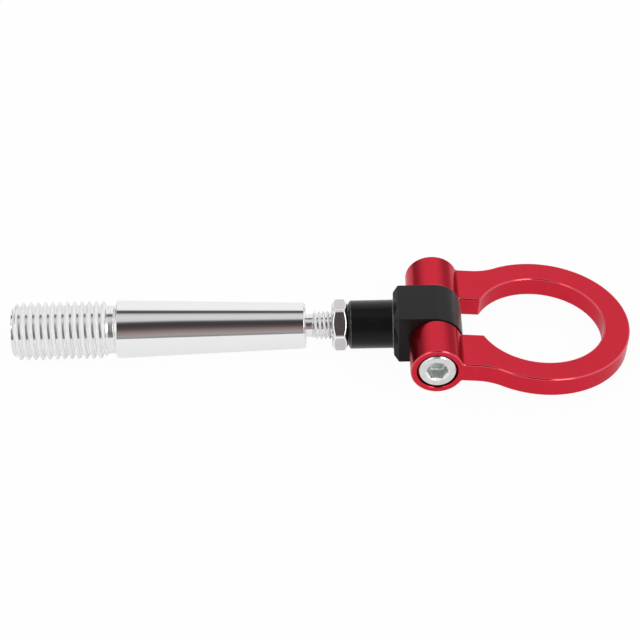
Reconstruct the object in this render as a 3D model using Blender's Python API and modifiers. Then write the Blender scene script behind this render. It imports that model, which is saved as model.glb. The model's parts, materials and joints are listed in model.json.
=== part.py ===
"""Screw-in tow hook with a folding ring.

A turned shank screws into a car's towing socket. Its stud carries a lock nut and a
knuckle, and the ring hinges on a cap screw that passes through the knuckle's block.

Frame: metres, +Z up. The origin is the centre of the thread's flat end, +X runs along
the shank to the ring, and +Y lies along the hinge, away from the screw's head.
"""

import math

import bmesh
import bpy

MM = 0.001

# Main thread and its relief neck, from the flat end of the shank
THREAD_DIAMETER = 19.9 * MM
THREAD_PITCH = 2.5 * MM
THREAD_LENGTH = 32.4 * MM
THREAD_TIP_DIAMETER = 16.4 * MM
THREAD_RUN_OUT = 1.3 * MM
RELIEF_DIAMETER = 16.7 * MM
RELIEF_LENGTH = 3.1 * MM

# Polished taper
TAPER_LENGTH = 64.9 * MM
TAPER_BIG_DIAMETER = 19.9 * MM
TAPER_SMALL_DIAMETER = 15.7 * MM
TAPER_BIG_CHAMFER = 0.7 * MM
TAPER_SMALL_CHAMFER = 0.6 * MM

# Stud, from the taper's small end
STUD_DIAMETER = 9.8 * MM
STUD_PITCH = 1.5 * MM
STUD_IN_VIEW = 8.9 * MM
STUD_IN_KNUCKLE = 14.0 * MM
STUD_CHAMFER = 1.1 * MM
UNDERCUT_DIAMETER = 7.8 * MM
UNDERCUT_LENGTH = 2.2 * MM
UNDERCUT_SLOPE = 0.8 * MM

# Both threads have the 60 degree form. A crest lies on top of the shank at these
# distances from the flat end and from the taper's small end.
THREAD_CREST = 1.43 * MM
STUD_CREST = 0.16 * MM
THREAD_FLANK = math.radians(30)
THREAD_DEPTH_PER_PITCH = 0.6134
CREST_PER_PITCH = 0.125

# Lock nut
NUT_ACROSS_FLATS = 15.7 * MM
NUT_THICKNESS = 5.5 * MM
NUT_CORNER_RADIUS = 1.3 * MM
NUT_FACE_DIAMETER = 14.1 * MM
NUT_CHAMFER_ANGLE = math.radians(32)
NUT_TURN = math.radians(257.6)

# Knuckle
NECK_DIAMETER = 16.6 * MM
NECK_LENGTH = 15.3 * MM
NECK_CHAMFER = 0.9 * MM
NECK_FILLET = 0.6 * MM
BLOCK_HEIGHT = 18.9 * MM
BLOCK_WIDTH = 18.5 * MM
BLOCK_BACK = 14.0 * MM
BLOCK_CHAMFER = 1.7 * MM
BLOCK_EDGE = 0.2 * MM
STUD_BORE_SPARE = 1.5 * MM

# Ring, in its own plane from the hinge's axis
RING_OUTER_DIAMETER = 61.7 * MM
RING_INNER_DIAMETER = 44.0 * MM
RING_REACH = 36.2 * MM
RING_THICKNESS = 7.1 * MM
RING_EDGE = 0.45 * MM
RING_DROOP = math.radians(4.85)
EARS_WIDTH = 50.6 * MM
EAR_DIAMETER = 18.1 * MM
EAR_FILLET = 1.0 * MM
ARM_FILLET = 18.0 * MM

# Cap screw
SCREW_DIAMETER = 7.9 * MM
SCREW_HEAD_DIAMETER = 12.9 * MM
SCREW_HEAD_HEIGHT = 8.0 * MM
SCREW_HEAD_CHAMFER = 0.5 * MM
SCREW_TIP_CHAMFER = 0.8 * MM
SCREW_TIP_DEPTH = 1.2 * MM
SOCKET_ACROSS_FLATS = 6.1 * MM
SOCKET_DEPTH = 4.0 * MM
SOCKET_MOUTH_DIAMETER = 7.9 * MM
SOCKET_TURN = 0.0
COUNTERBORE_DIAMETER = 14.0 * MM

# Clearances
SEAT_GAP = 0.3 * MM
BORE_GAP = 0.3 * MM
SIDE_GAP = 0.25 * MM
MOUTH_CHAMFER = 0.5 * MM

# Facets round a full turn
SHANK_FACETS = 40
STUD_FACETS = 20
ROUND_FACETS = 48
BORE_FACETS = 32
ARC_STEP = math.radians(6)
CORNER_STEP = math.radians(15)

# How far a cutter stands past what it cuts, and a joined shape reaches into its partner
CUT_PAST = 4.0 * MM
OVERLAP = 3.0 * MM
THREAD_CLEAR = 0.2 * MM
SPARE_TURNS = 1
WELD = 0.001 * MM

# Edges sharper than this are bevelled
SHARP_EDGE = math.radians(35)

# From a hexagon's corner to the middle of its side, seen from its centre
HALF_SIDE = math.radians(30)

# Places along the shank
SHOULDER_X = THREAD_LENGTH + RELIEF_LENGTH
TAPER_END_X = SHOULDER_X + TAPER_LENGTH
NUT_X = TAPER_END_X + STUD_IN_VIEW
NECK_X = NUT_X + NUT_THICKNESS + SEAT_GAP
STUD_END_X = NECK_X + STUD_IN_KNUCKLE
BLOCK_X = NECK_X + NECK_LENGTH
PIVOT_X = BLOCK_X + BLOCK_BACK

# Places along the hinge, from the middle of the block
FACE_Y = EARS_WIDTH / 2
GAP_Y = BLOCK_WIDTH / 2 + SIDE_GAP
SEAT_Y = FACE_Y - SCREW_HEAD_HEIGHT

TURN_TO_X = (0, math.pi / 2, 0)
TURN_TO_NEAR_SIDE = (math.pi / 2, 0, 0)
NO_TURN = (0, 0, 0)


def remove_startup_objects():
    for found in list(bpy.data.objects):
        bpy.data.objects.remove(found, do_unlink=True)


def new_collection(name):
    made = bpy.data.collections.new(name)
    bpy.context.scene.collection.children.link(made)
    return made


def finish(name, colour, metallic, roughness):
    made = bpy.data.materials.new(name)
    made.use_nodes = True
    shader = made.node_tree.nodes["Principled BSDF"]
    shader.inputs["Base Color"].default_value = (*colour, 1)
    shader.inputs["Metallic"].default_value = metallic
    shader.inputs["Roughness"].default_value = roughness
    return made


def place(made, collection, place_x=0.0, rotation=NO_TURN, parent=None):
    collection.objects.link(made)
    made.location = (place_x, 0, 0)
    made.rotation_euler = rotation
    made.parent = parent
    return made


def hide_cutter(cutter):
    cutter.hide_render = True
    cutter.display_type = "WIRE"
    return cutter


def give_finish(part, material):
    part.data.materials.clear()
    part.data.materials.append(material)


def wire(name, points):
    """A mesh of edges through the points, for a Screw modifier to turn."""
    mesh = bpy.data.meshes.new(name)
    edges = [(i, i + 1) for i in range(len(points) - 1)]
    mesh.from_pydata(points, edges, [])
    return bpy.data.objects.new(name, mesh)


def turned(name, outline, facets):
    """A turned shape. The outline lists (distance along the axis, radius), lowest first,
    and starts and ends on the axis, which is the object's Z."""
    points = [(radius, 0, along) for along, radius in reversed(outline)]
    made = wire(name, points)
    screw = made.modifiers.new("turn", "SCREW")
    screw.axis = "Z"
    screw.angle = math.tau
    screw.steps = facets
    screw.render_steps = facets
    screw.use_merge_vertices = True
    screw.merge_threshold = WELD
    screw.use_smooth_shade = False
    return made


def as_mesh(source):
    """The object's evaluated shape as a plain mesh object in the source's place."""
    bpy.context.view_layer.update()
    graph = bpy.context.evaluated_depsgraph_get()
    mesh = bpy.data.meshes.new_from_object(source.evaluated_get(graph))
    name = source.name
    bpy.data.objects.remove(source, do_unlink=True)
    mesh.name = name
    made = bpy.data.objects.new(name, mesh)
    return made


def threaded(name, major_diameter, pitch, crest_at, start, end, facets):
    """A right-hand threaded rod along the object's Z, longer each way than the stretch
    from start to end. On its -X side, the top of the shank, a crest lies at crest_at."""
    crest = major_diameter / 2
    root = crest - THREAD_DEPTH_PER_PITCH * pitch
    half_crest = CREST_PER_PITCH * pitch / 2
    half_ridge = half_crest + (crest - root) * math.tan(THREAD_FLANK)
    turns_back = math.ceil((crest_at - start) / pitch) + SPARE_TURNS
    ridge = crest_at - pitch / 2 - turns_back * pitch
    low = ridge - half_ridge
    section = [
        (root, 0, low + pitch),
        (root, 0, ridge + half_ridge),
        (crest, 0, ridge + half_crest),
        (crest, 0, ridge - half_crest),
        (root, 0, low),
    ]
    made = wire(name, section)
    screw = made.modifiers.new("helix", "SCREW")
    screw.axis = "Z"
    screw.angle = math.tau
    screw.screw_offset = pitch
    screw.iterations = math.ceil((end - low) / pitch) + SPARE_TURNS
    screw.steps = facets
    screw.render_steps = facets
    screw.use_merge_vertices = False
    bpy.context.scene.collection.objects.link(made)
    rod = as_mesh(made)
    shape = bmesh.new()
    shape.from_mesh(rod.data)
    bmesh.ops.remove_doubles(shape, verts=shape.verts, dist=WELD)
    open_edges = [edge for edge in shape.edges if edge.is_boundary]
    caps = bmesh.ops.holes_fill(shape, edges=open_edges, sides=0)["faces"]
    bmesh.ops.poke(shape, faces=caps)
    bmesh.ops.recalc_face_normals(shape, faces=shape.faces)
    shape.to_mesh(rod.data)
    shape.free()
    return rod


def plate(name, outline, half_thickness):
    """A closed outline in the object's XY plane, extruded both ways along its Z."""
    curve = bpy.data.curves.new(name, "CURVE")
    curve.dimensions = "2D"
    curve.fill_mode = "BOTH"
    curve.extrude = half_thickness
    spline = curve.splines.new("POLY")
    spline.points.add(len(outline) - 1)
    for point, (x, y) in zip(spline.points, outline):
        point.co = (x, y, 0, 1)
    spline.use_cyclic_u = True
    made = bpy.data.objects.new(name, curve)
    bpy.context.scene.collection.objects.link(made)
    solid = as_mesh(made)
    shape = bmesh.new()
    shape.from_mesh(solid.data)
    bmesh.ops.remove_doubles(shape, verts=shape.verts, dist=WELD)
    bmesh.ops.recalc_face_normals(shape, faces=shape.faces)
    shape.to_mesh(solid.data)
    shape.free()
    return solid


def boolean(part, cutter, operation):
    modifier = part.modifiers.new(cutter.name, "BOOLEAN")
    modifier.operation = operation
    modifier.object = cutter
    modifier.solver = "EXACT"


def bevel(part, width):
    modifier = part.modifiers.new("edges", "BEVEL")
    modifier.width = width
    modifier.segments = 1
    modifier.limit_method = "ANGLE"
    modifier.angle_limit = SHARP_EDGE


def arc(centre, radius, start, end, step=ARC_STEP):
    """Points on an arc from one angle to another, both ends included."""
    steps = max(1, round(abs(end - start) / step))
    return [
        (
            centre[0] + radius * math.cos(start + (end - start) * i / steps),
            centre[1] + radius * math.sin(start + (end - start) * i / steps),
        )
        for i in range(steps + 1)
    ]


def mirrored(points):
    """The points reflected in the X axis, in the opposite order."""
    return [(x, -y) for x, y in reversed(points)]


def hexagon(across_flats, turn):
    radius = across_flats / math.sqrt(3)
    angles = [turn + 2 * HALF_SIDE * i for i in range(6)]
    return [(radius * math.cos(a), radius * math.sin(a)) for a in angles]


def rounded_hexagon(across_flats, corner_radius, turn):
    outline = []
    for centre in hexagon(across_flats - 2 * corner_radius, turn):
        corner = math.atan2(centre[1], centre[0])
        outline += arc(centre, corner_radius, corner - HALF_SIDE, corner + HALF_SIDE, CORNER_STEP)
    return outline


def make_tow_shaft(parts, cutters, material):
    """The taper, with the main thread and the stud joined to its ends."""
    big = TAPER_BIG_DIAMETER / 2
    small = TAPER_SMALL_DIAMETER / 2
    slope = (big - small) / TAPER_LENGTH
    shaft = turned(
        "tow_shaft",
        [
            (SHOULDER_X, 0),
            (SHOULDER_X, big - TAPER_BIG_CHAMFER),
            (SHOULDER_X + TAPER_BIG_CHAMFER, big - TAPER_BIG_CHAMFER * slope),
            (TAPER_END_X - TAPER_SMALL_CHAMFER, small + TAPER_SMALL_CHAMFER * slope),
            (TAPER_END_X, small - TAPER_SMALL_CHAMFER),
            (TAPER_END_X, 0),
        ],
        SHANK_FACETS,
    )
    place(shaft, parts, rotation=TURN_TO_X)
    give_finish(shaft, material)
    boolean(shaft, make_main_thread(cutters), "UNION")
    boolean(shaft, make_stud(cutters), "UNION")
    return shaft


def make_main_thread(cutters):
    """The main thread and its relief neck, reaching into the taper."""
    clear = THREAD_DIAMETER / 2 + THREAD_CLEAR
    tip = THREAD_TIP_DIAMETER / 2
    relief = RELIEF_DIAMETER / 2
    rod = threaded(
        "main_thread",
        THREAD_DIAMETER,
        THREAD_PITCH,
        THREAD_CREST,
        0,
        SHOULDER_X + OVERLAP,
        SHANK_FACETS,
    )
    place(hide_cutter(rod), cutters, rotation=TURN_TO_X)
    outline = turned(
        "main_thread_outline",
        [
            (0, 0),
            (0, tip),
            (clear - tip, clear),
            (THREAD_LENGTH - THREAD_RUN_OUT, clear),
            (THREAD_LENGTH, relief),
            (SHOULDER_X + OVERLAP, relief),
            (SHOULDER_X + OVERLAP, 0),
        ],
        SHANK_FACETS,
    )
    place(hide_cutter(outline), cutters, rotation=TURN_TO_X)
    boolean(rod, outline, "INTERSECT")
    return rod


def make_stud(cutters):
    """The stud with its undercut and thread, reaching into the taper."""
    clear = STUD_DIAMETER / 2 + THREAD_CLEAR
    undercut = UNDERCUT_DIAMETER / 2
    undercut_end = TAPER_END_X + UNDERCUT_LENGTH
    base = TAPER_END_X - OVERLAP
    rod = threaded(
        "stud",
        STUD_DIAMETER,
        STUD_PITCH,
        TAPER_END_X + STUD_CREST,
        base,
        STUD_END_X,
        STUD_FACETS,
    )
    place(hide_cutter(rod), cutters, rotation=TURN_TO_X)
    outline = turned(
        "stud_outline",
        [
            (base, 0),
            (base, undercut),
            (undercut_end, undercut),
            (undercut_end + UNDERCUT_SLOPE, clear),
            (STUD_END_X - STUD_CHAMFER, clear),
            (STUD_END_X, clear - STUD_CHAMFER),
            (STUD_END_X, 0),
        ],
        STUD_FACETS,
    )
    place(hide_cutter(outline), cutters, rotation=TURN_TO_X)
    boolean(rod, outline, "INTERSECT")
    return rod


def bore_cutter(name, radius, start, end, mouth_at_start, mouth_at_end):
    """A turned cutter for a bore from start to end, with a chamfer at each open mouth."""
    outline = [(start, 0), (start, radius)]
    if mouth_at_start:
        outline = [
            (start - CUT_PAST, 0),
            (start - CUT_PAST, radius + MOUTH_CHAMFER + CUT_PAST),
            (start + MOUTH_CHAMFER, radius),
        ]
    if mouth_at_end:
        outline += [
            (end - MOUTH_CHAMFER, radius),
            (end + CUT_PAST, radius + MOUTH_CHAMFER + CUT_PAST),
            (end + CUT_PAST, 0),
        ]
    else:
        outline += [(end, radius), (end, 0)]
    return turned(name, outline, BORE_FACETS)


def make_lock_nut(parts, cutters, material):
    middle = NUT_X + NUT_THICKNESS / 2
    outline = rounded_hexagon(NUT_ACROSS_FLATS, NUT_CORNER_RADIUS, NUT_TURN)
    nut = plate("lock_nut", outline, NUT_THICKNESS / 2)
    place(nut, parts, middle, TURN_TO_X)
    give_finish(nut, material)

    face = NUT_FACE_DIAMETER / 2
    corner = NUT_ACROSS_FLATS / math.sqrt(3)
    rise = (corner - face) * math.tan(NUT_CHAMFER_ANGLE)
    half = NUT_THICKNESS / 2
    chamfers = turned(
        "nut_chamfers",
        [
            (-half, 0),
            (-half, face),
            (-half + rise, corner),
            (half - rise, corner),
            (half, face),
            (half, 0),
        ],
        ROUND_FACETS,
    )
    place(hide_cutter(chamfers), cutters, middle, TURN_TO_X)
    boolean(nut, chamfers, "INTERSECT")
    radius = STUD_DIAMETER / 2 + BORE_GAP
    bore = bore_cutter("nut_bore", radius, -half, half, True, True)
    place(hide_cutter(bore), cutters, middle, TURN_TO_X)
    boolean(nut, bore, "DIFFERENCE")
    return nut


def make_knuckle_block(parts, cutters, material):
    half_height = BLOCK_HEIGHT / 2
    half_width = BLOCK_WIDTH / 2
    chamfered = BLOCK_BACK - BLOCK_CHAMFER
    side = (
        [(-chamfered, -half_height)]
        + arc((0, 0), half_height, -math.pi / 2, math.pi / 2)
        + [
            (-chamfered, half_height),
            (-BLOCK_BACK, half_height - BLOCK_CHAMFER),
            (-BLOCK_BACK, -half_height + BLOCK_CHAMFER),
        ]
    )
    plan = [
        (-BLOCK_BACK, -half_width + BLOCK_CHAMFER),
        (-chamfered, -half_width),
        (half_height + CUT_PAST, -half_width),
        (half_height + CUT_PAST, half_width),
        (-chamfered, half_width),
        (-BLOCK_BACK, half_width - BLOCK_CHAMFER),
    ]
    block = plate("knuckle_block", plan, half_height + CUT_PAST)
    place(block, parts, PIVOT_X)
    give_finish(block, material)
    profile = plate("block_side_profile", side, half_width + CUT_PAST)
    place(hide_cutter(profile), cutters, PIVOT_X, TURN_TO_NEAR_SIDE)
    boolean(block, profile, "INTERSECT")
    bevel(block, BLOCK_EDGE)

    radius = NECK_DIAMETER / 2
    neck = turned(
        "neck",
        [
            (0, 0),
            (0, radius - NECK_CHAMFER),
            (NECK_CHAMFER, radius),
            (NECK_LENGTH - NECK_FILLET, radius),
            (NECK_LENGTH, radius + NECK_FILLET / 2),
            (NECK_LENGTH + OVERLAP, radius + NECK_FILLET / 2),
            (NECK_LENGTH + OVERLAP, 0),
        ],
        ROUND_FACETS,
    )
    place(hide_cutter(neck), cutters, NECK_X, TURN_TO_X)
    boolean(block, neck, "UNION")

    stud_bore = bore_cutter(
        "stud_bore",
        STUD_DIAMETER / 2 + BORE_GAP,
        0,
        STUD_IN_KNUCKLE + STUD_BORE_SPARE,
        True,
        False,
    )
    place(hide_cutter(stud_bore), cutters, NECK_X, TURN_TO_X)
    boolean(block, stud_bore, "DIFFERENCE")
    cross_bore = bore_cutter(
        "cross_bore",
        SCREW_DIAMETER / 2 + BORE_GAP,
        -half_width,
        half_width,
        True,
        True,
    )
    place(hide_cutter(cross_bore), cutters, PIVOT_X, TURN_TO_NEAR_SIDE)
    boolean(block, cross_bore, "DIFFERENCE")
    return block


def ring_plan():
    """The ring, its arms and ears seen from above, from the hinge's axis."""
    outer = RING_OUTER_DIAMETER / 2
    inner = RING_INNER_DIAMETER / 2
    behind = -EAR_DIAMETER / 2 - CUT_PAST
    centre = (RING_REACH, 0)

    fillet_y = FACE_Y + ARM_FILLET
    fillet_x = RING_REACH - math.sqrt((outer + ARM_FILLET) ** 2 - fillet_y**2)
    toward_ring = math.atan2(-fillet_y, RING_REACH - fillet_x)
    far_side = [(behind, FACE_Y)]
    far_side += arc((fillet_x, fillet_y), ARM_FILLET, -math.pi / 2, toward_ring)

    blend = math.atan2(fillet_y, fillet_x - RING_REACH)
    outside = arc(centre, outer, blend, -blend)[1:-1]
    mouth = math.pi - math.asin(GAP_Y / inner)
    inside = arc(centre, inner, -mouth, mouth)
    near_side = mirrored(far_side)
    return far_side + outside + near_side + [(behind, -GAP_Y)] + inside + [(behind, GAP_Y)]


def ring_side():
    """The ring seen along the hinge: a round ear blended into a flat plate."""
    ear = EAR_DIAMETER / 2
    half = RING_THICKNESS / 2
    end = RING_REACH + RING_OUTER_DIAMETER / 2 + CUT_PAST
    fillet_y = half + EAR_FILLET
    fillet_x = math.sqrt((ear + EAR_FILLET) ** 2 - fillet_y**2)
    toward_axis = math.atan2(-fillet_y, -fillet_x)
    blend = math.atan2(fillet_y, fillet_x)
    upper = [(end, half)]
    upper += arc((fillet_x, fillet_y), EAR_FILLET, -math.pi / 2, toward_axis)
    around = arc((0, 0), ear, blend, math.tau - blend)[1:-1]
    return upper + around + mirrored(upper)


def make_tow_ring(parts, cutters, pivot, material):
    height = EAR_DIAMETER / 2 + CUT_PAST
    ring = plate("tow_ring", ring_plan(), height)
    place(ring, parts, parent=pivot)
    give_finish(ring, material)
    width = RING_OUTER_DIAMETER / 2 + CUT_PAST
    profile = plate("ring_side_profile", ring_side(), width)
    place(hide_cutter(profile), cutters, rotation=TURN_TO_NEAR_SIDE, parent=pivot)
    boolean(ring, profile, "INTERSECT")
    bevel(ring, RING_EDGE)

    radius = SCREW_DIAMETER / 2 + BORE_GAP
    screw_bore = bore_cutter("ear_bores", radius, -FACE_Y, FACE_Y, True, False)
    place(hide_cutter(screw_bore), cutters, rotation=TURN_TO_NEAR_SIDE, parent=pivot)
    boolean(ring, screw_bore, "DIFFERENCE")
    floor = SEAT_Y - SEAT_GAP
    counterbore = turned(
        "counterbore",
        [
            (floor, 0),
            (floor, COUNTERBORE_DIAMETER / 2),
            (FACE_Y + CUT_PAST, COUNTERBORE_DIAMETER / 2),
            (FACE_Y + CUT_PAST, 0),
        ],
        ROUND_FACETS,
    )
    place(hide_cutter(counterbore), cutters, rotation=TURN_TO_NEAR_SIDE, parent=pivot)
    boolean(ring, counterbore, "DIFFERENCE")
    return ring


def make_pivot_bolt(parts, cutters, pivot, material):
    shank = SCREW_DIAMETER / 2
    head = SCREW_HEAD_DIAMETER / 2
    tip = -FACE_Y + SCREW_TIP_DEPTH
    top = SEAT_Y + SCREW_HEAD_HEIGHT
    bolt = turned(
        "pivot_bolt",
        [
            (tip, 0),
            (tip, shank - SCREW_TIP_CHAMFER),
            (tip + SCREW_TIP_CHAMFER, shank),
            (SEAT_Y, shank),
            (SEAT_Y, head),
            (top - SCREW_HEAD_CHAMFER, head),
            (top, head - SCREW_HEAD_CHAMFER),
            (top, 0),
        ],
        ROUND_FACETS,
    )
    place(bolt, parts, rotation=TURN_TO_NEAR_SIDE, parent=pivot)
    give_finish(bolt, material)
    socket = plate("socket", hexagon(SOCKET_ACROSS_FLATS, SOCKET_TURN), SOCKET_DEPTH)
    place(hide_cutter(socket), cutters, rotation=TURN_TO_NEAR_SIDE, parent=pivot)
    socket.location = (0, -top, 0)
    boolean(bolt, socket, "DIFFERENCE")
    mouth = SOCKET_MOUTH_DIAMETER / 2
    countersink = turned(
        "socket_mouth",
        [
            (top - mouth / 2, 0),
            (top + CUT_PAST / 2, mouth + CUT_PAST),
            (top + CUT_PAST / 2, 0),
        ],
        ROUND_FACETS,
    )
    place(hide_cutter(countersink), cutters, rotation=TURN_TO_NEAR_SIDE, parent=pivot)
    boolean(bolt, countersink, "DIFFERENCE")
    return bolt


def main():
    remove_startup_objects()
    parts = new_collection("tow_hook")
    cutters = new_collection("cutters")
    bright = finish("polished_aluminium", (0.86, 0.86, 0.87), 1.0, 0.12)
    stainless = finish("stainless_steel", (0.62, 0.59, 0.58), 1.0, 0.32)
    plated = finish("zinc_plated_steel", (0.74, 0.75, 0.76), 1.0, 0.3)
    black = finish("black_anodised_aluminium", (0.02, 0.02, 0.022), 0.3, 0.45)
    red = finish("red_anodised_aluminium", (0.6, 0.015, 0.03), 0.6, 0.35)

    make_tow_shaft(parts, cutters, bright)
    make_lock_nut(parts, cutters, stainless)
    make_knuckle_block(parts, cutters, black)

    pivot = bpy.data.objects.new("ring_pivot", None)
    place(pivot, parts, PIVOT_X, (0, RING_DROOP, 0))
    make_tow_ring(parts, cutters, pivot, red)
    make_pivot_bolt(parts, cutters, pivot, plated)


main()
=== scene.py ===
"""Looks of a screw-in tow hook with a folding ring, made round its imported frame.

The shank lies along +X with its coarse thread at the origin, the ring hinges about +Y,
and +Z is up. Sizes are in metres.
"""

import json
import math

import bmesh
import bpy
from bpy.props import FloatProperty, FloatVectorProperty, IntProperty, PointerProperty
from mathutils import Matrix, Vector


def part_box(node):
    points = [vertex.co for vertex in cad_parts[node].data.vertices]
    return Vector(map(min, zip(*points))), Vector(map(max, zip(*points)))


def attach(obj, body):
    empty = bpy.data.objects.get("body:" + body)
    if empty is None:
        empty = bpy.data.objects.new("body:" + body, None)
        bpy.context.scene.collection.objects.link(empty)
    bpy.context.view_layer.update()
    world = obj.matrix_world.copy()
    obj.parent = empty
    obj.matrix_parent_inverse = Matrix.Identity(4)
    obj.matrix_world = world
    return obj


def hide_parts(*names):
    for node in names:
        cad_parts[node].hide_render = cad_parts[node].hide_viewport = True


bl_info = {
    "name": "Tow Hook",
    "version": (1, 0, 0),
    "blender": (4, 5, 0),
    "location": "3D View > Sidebar > Tow Hook",
    "description": "Makes the finished pieces of a screw-in tow hook round its frame",
    "category": "Object",
}

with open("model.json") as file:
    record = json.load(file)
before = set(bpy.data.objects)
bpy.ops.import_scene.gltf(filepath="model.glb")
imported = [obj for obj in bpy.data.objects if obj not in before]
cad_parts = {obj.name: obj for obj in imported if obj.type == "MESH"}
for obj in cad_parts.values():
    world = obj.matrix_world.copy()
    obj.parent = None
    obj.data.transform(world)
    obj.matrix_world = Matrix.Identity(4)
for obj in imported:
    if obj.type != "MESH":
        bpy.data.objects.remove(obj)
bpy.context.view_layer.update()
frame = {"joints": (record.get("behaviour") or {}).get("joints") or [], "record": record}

MM = 0.001
WELD = 0.002 * MM

# Parts of a turn
QUARTER = math.pi / 2
SIXTH = math.radians(60)

# Steps of arcs and of eased corners, and columns round plain turned shapes and holes
PLAN_STEP = math.radians(2)
SIDE_STEP = math.radians(3)
RELIEF_STEP = math.radians(12)
FILLET_STEP = math.radians(15)
CORNER_STEPS = 4
ROUND_COLUMNS = 96
HOLE_COLUMNS = 64

# Edges past the first angle are rounded, and shading breaks at edges past the second
ROUNDED_PAST = math.radians(35)
BROKEN_PAST = math.radians(28)
EDGE_SEGMENTS = 3

# How much of the normals of end faces and of the socket's slants points along X
END_NORMAL = 0.98
SLANT_NORMAL = (0.3, 0.95)

# How far the nut's edges lean from the faces beside them, at least
CLEAR_OF_FLAT = math.radians(3)

# How far a cutter stands past what it cuts, and a joined shape reaches into its partner
CUT_PAST = 4 * MM
OVERLAP = 3 * MM

# Places that the frame gives
SHAFT_LOW, SHAFT_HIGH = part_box("tow_shaft")
NUT_LOW, NUT_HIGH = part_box("lock_nut")
KNUCKLE_LOW, KNUCKLE_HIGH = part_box("knuckle_block")
RING_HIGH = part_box("tow_ring")[1]
HINGE = Vector(frame["joints"][0]["pos_m"])
MOUNTS = {mount["name"]: mount for mount in frame["record"]["mounts"]}
SHOULDER_X = MOUNTS["shoulder_face"]["pos_m"][0]
DROOP = math.atan2(MOUNTS["ring_upper_face"]["axis"][0], MOUNTS["ring_upper_face"]["axis"][2])

# The threads have the 60 degree form, and the rest are shares of their pitch
FLANK_SLOPE = math.tan(math.radians(30))
THREAD_DEPTH = 0.6134
CREST_WIDTH = 0.06
ROOT_ROUNDING = 0.03

# The ring's plane and the screw's axis, which points at the camera's side
RING_FRAME = Matrix.Translation(HINGE) @ Matrix.Rotation(DROOP, 4, "Y")
SCREW_FRAME = RING_FRAME @ Matrix(((0, 1, 0, 0), (-1, 0, 0, 0), (0, 0, 1, 0), (0, 0, 0, 1)))


def length(description, millimetres):
    kept = {"default": millimetres * MM, "precision": 5, "unit": "LENGTH"}
    return FloatProperty, description, kept


def angle(description, degrees):
    return FloatProperty, description, {"default": math.radians(degrees), "subtype": "ANGLE"}


def share(description, default):
    return FloatProperty, description, {"default": default, "min": 0, "max": 1}


def colour(description, default):
    kept = {"default": default, "min": 0, "max": 1, "subtype": "COLOR"}
    return FloatVectorProperty, description, kept


def count(description, default):
    return IntProperty, description, {"default": default, "min": 1}


def settings(group):
    """Makes a group's entries into properties, whose names are those of the entries."""
    entries = group.__annotations__
    for entry, (kind, description, kept) in entries.items():
        name = entry.replace("_", " ").capitalize()
        entries[entry] = kind(name=name, description=description, **kept)
    return group


@settings
class ShaftSettings(bpy.types.PropertyGroup):
    thread_diameter: length("Across the coarse thread's crests", 19.9)
    thread_pitch: length("From one coarse crest to the next", 2.5)
    thread_crest: length("From the flat end to a crest on the top side", 1.43)
    thread_length: length("From the flat end to the relief", 32.4)
    thread_tip: length("Diameter of the flat end", 16.4)
    run_out: length("Length over which the coarse thread fades out", 1.3)
    relief_diameter: length("Diameter of the neck behind the thread", 16.7)
    relief_fillet: length("Radius at the relief's ends", 0.8)
    relief_sink: length("How far the relief lies under the thread's end", 0.2)
    taper_big: length("Diameter of the taper at its shoulder", 19.9)
    taper_small: length("Diameter of the taper beside the stud", 15.7)
    taper_length: length("Length of the polished taper", 64.9)
    shoulder_chamfer: length("Width at the taper's big end", 0.7)
    small_chamfer: length("Width at the taper's small end", 0.6)
    stud_diameter: length("Across the stud's crests", 9.8)
    stud_pitch: length("From one stud crest to the next", 1.5)
    stud_crest: length("From the taper to a crest on the top side", 0.16)
    undercut_diameter: length("Diameter of the stud's undercut", 7.8)
    undercut_length: length("From the taper to the stud's thread", 2.2)
    undercut_slope: length("Length over which the thread rises", 0.8)
    stud_chamfer: length("Width at the stud's end", 1.1)
    edge: length("How far the turned edges are eased", 0.12)
    columns: count("Faces round the shaft", 120)
    flank_rows: count("Faces down each flank of a thread", 7)
    metal: colour("Colour of the aluminium", (0.885, 0.885, 0.89))
    # The flanks' colour is paler and less metal-like than the aluminium, a painted highlight; their
    # rougher cut is their own finish
    flank_painted_highlight: colour("Colour of the threads' flanks", (0.99, 0.99, 0.99))
    polish: share("Roughness of the taper", 0.06)
    cut: share("Roughness of the threads' roots and the relief", 0.13)
    flank: share("Roughness of the threads' flanks", 0.4)
    flank_metallic: share("How metal-like the threads' flanks look", 0.3)
    root_height: length("How far above a root the flank's finish starts", 0.25)


@settings
class NutSettings(bpy.types.PropertyGroup):
    across_flats: length("Between opposite facets", 15.7)
    corner_radius: length("Of the six rounded corners", 1.3)
    face_diameter: length("Of the round seat inside the chamfer", 14.1)
    chamfer: angle("Of the cone against the end face", 32)
    corner_at: angle("From the top towards the front", 17.6)
    bore: length("Diameter of the hole", 10.4)
    mouth: length("Chamfer at the hole", 0.5)
    corner_columns: count("Faces on each half of a corner", 3)
    facet_columns: count("Faces across each facet", 16)
    edge: length("How far the edges are eased", 0.3)
    metal: colour("Colour of the stainless steel", (0.63, 0.6, 0.6))
    roughness: share("Of the satin finish", 0.15)
    # The next two entries set a painted highlight on the nut's edges and corners, a paler steel
    bright: colour("Colour of the polished edges", (0.97, 0.97, 0.97))
    bright_roughness: share("Of the polished edges", 0.15)


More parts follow.
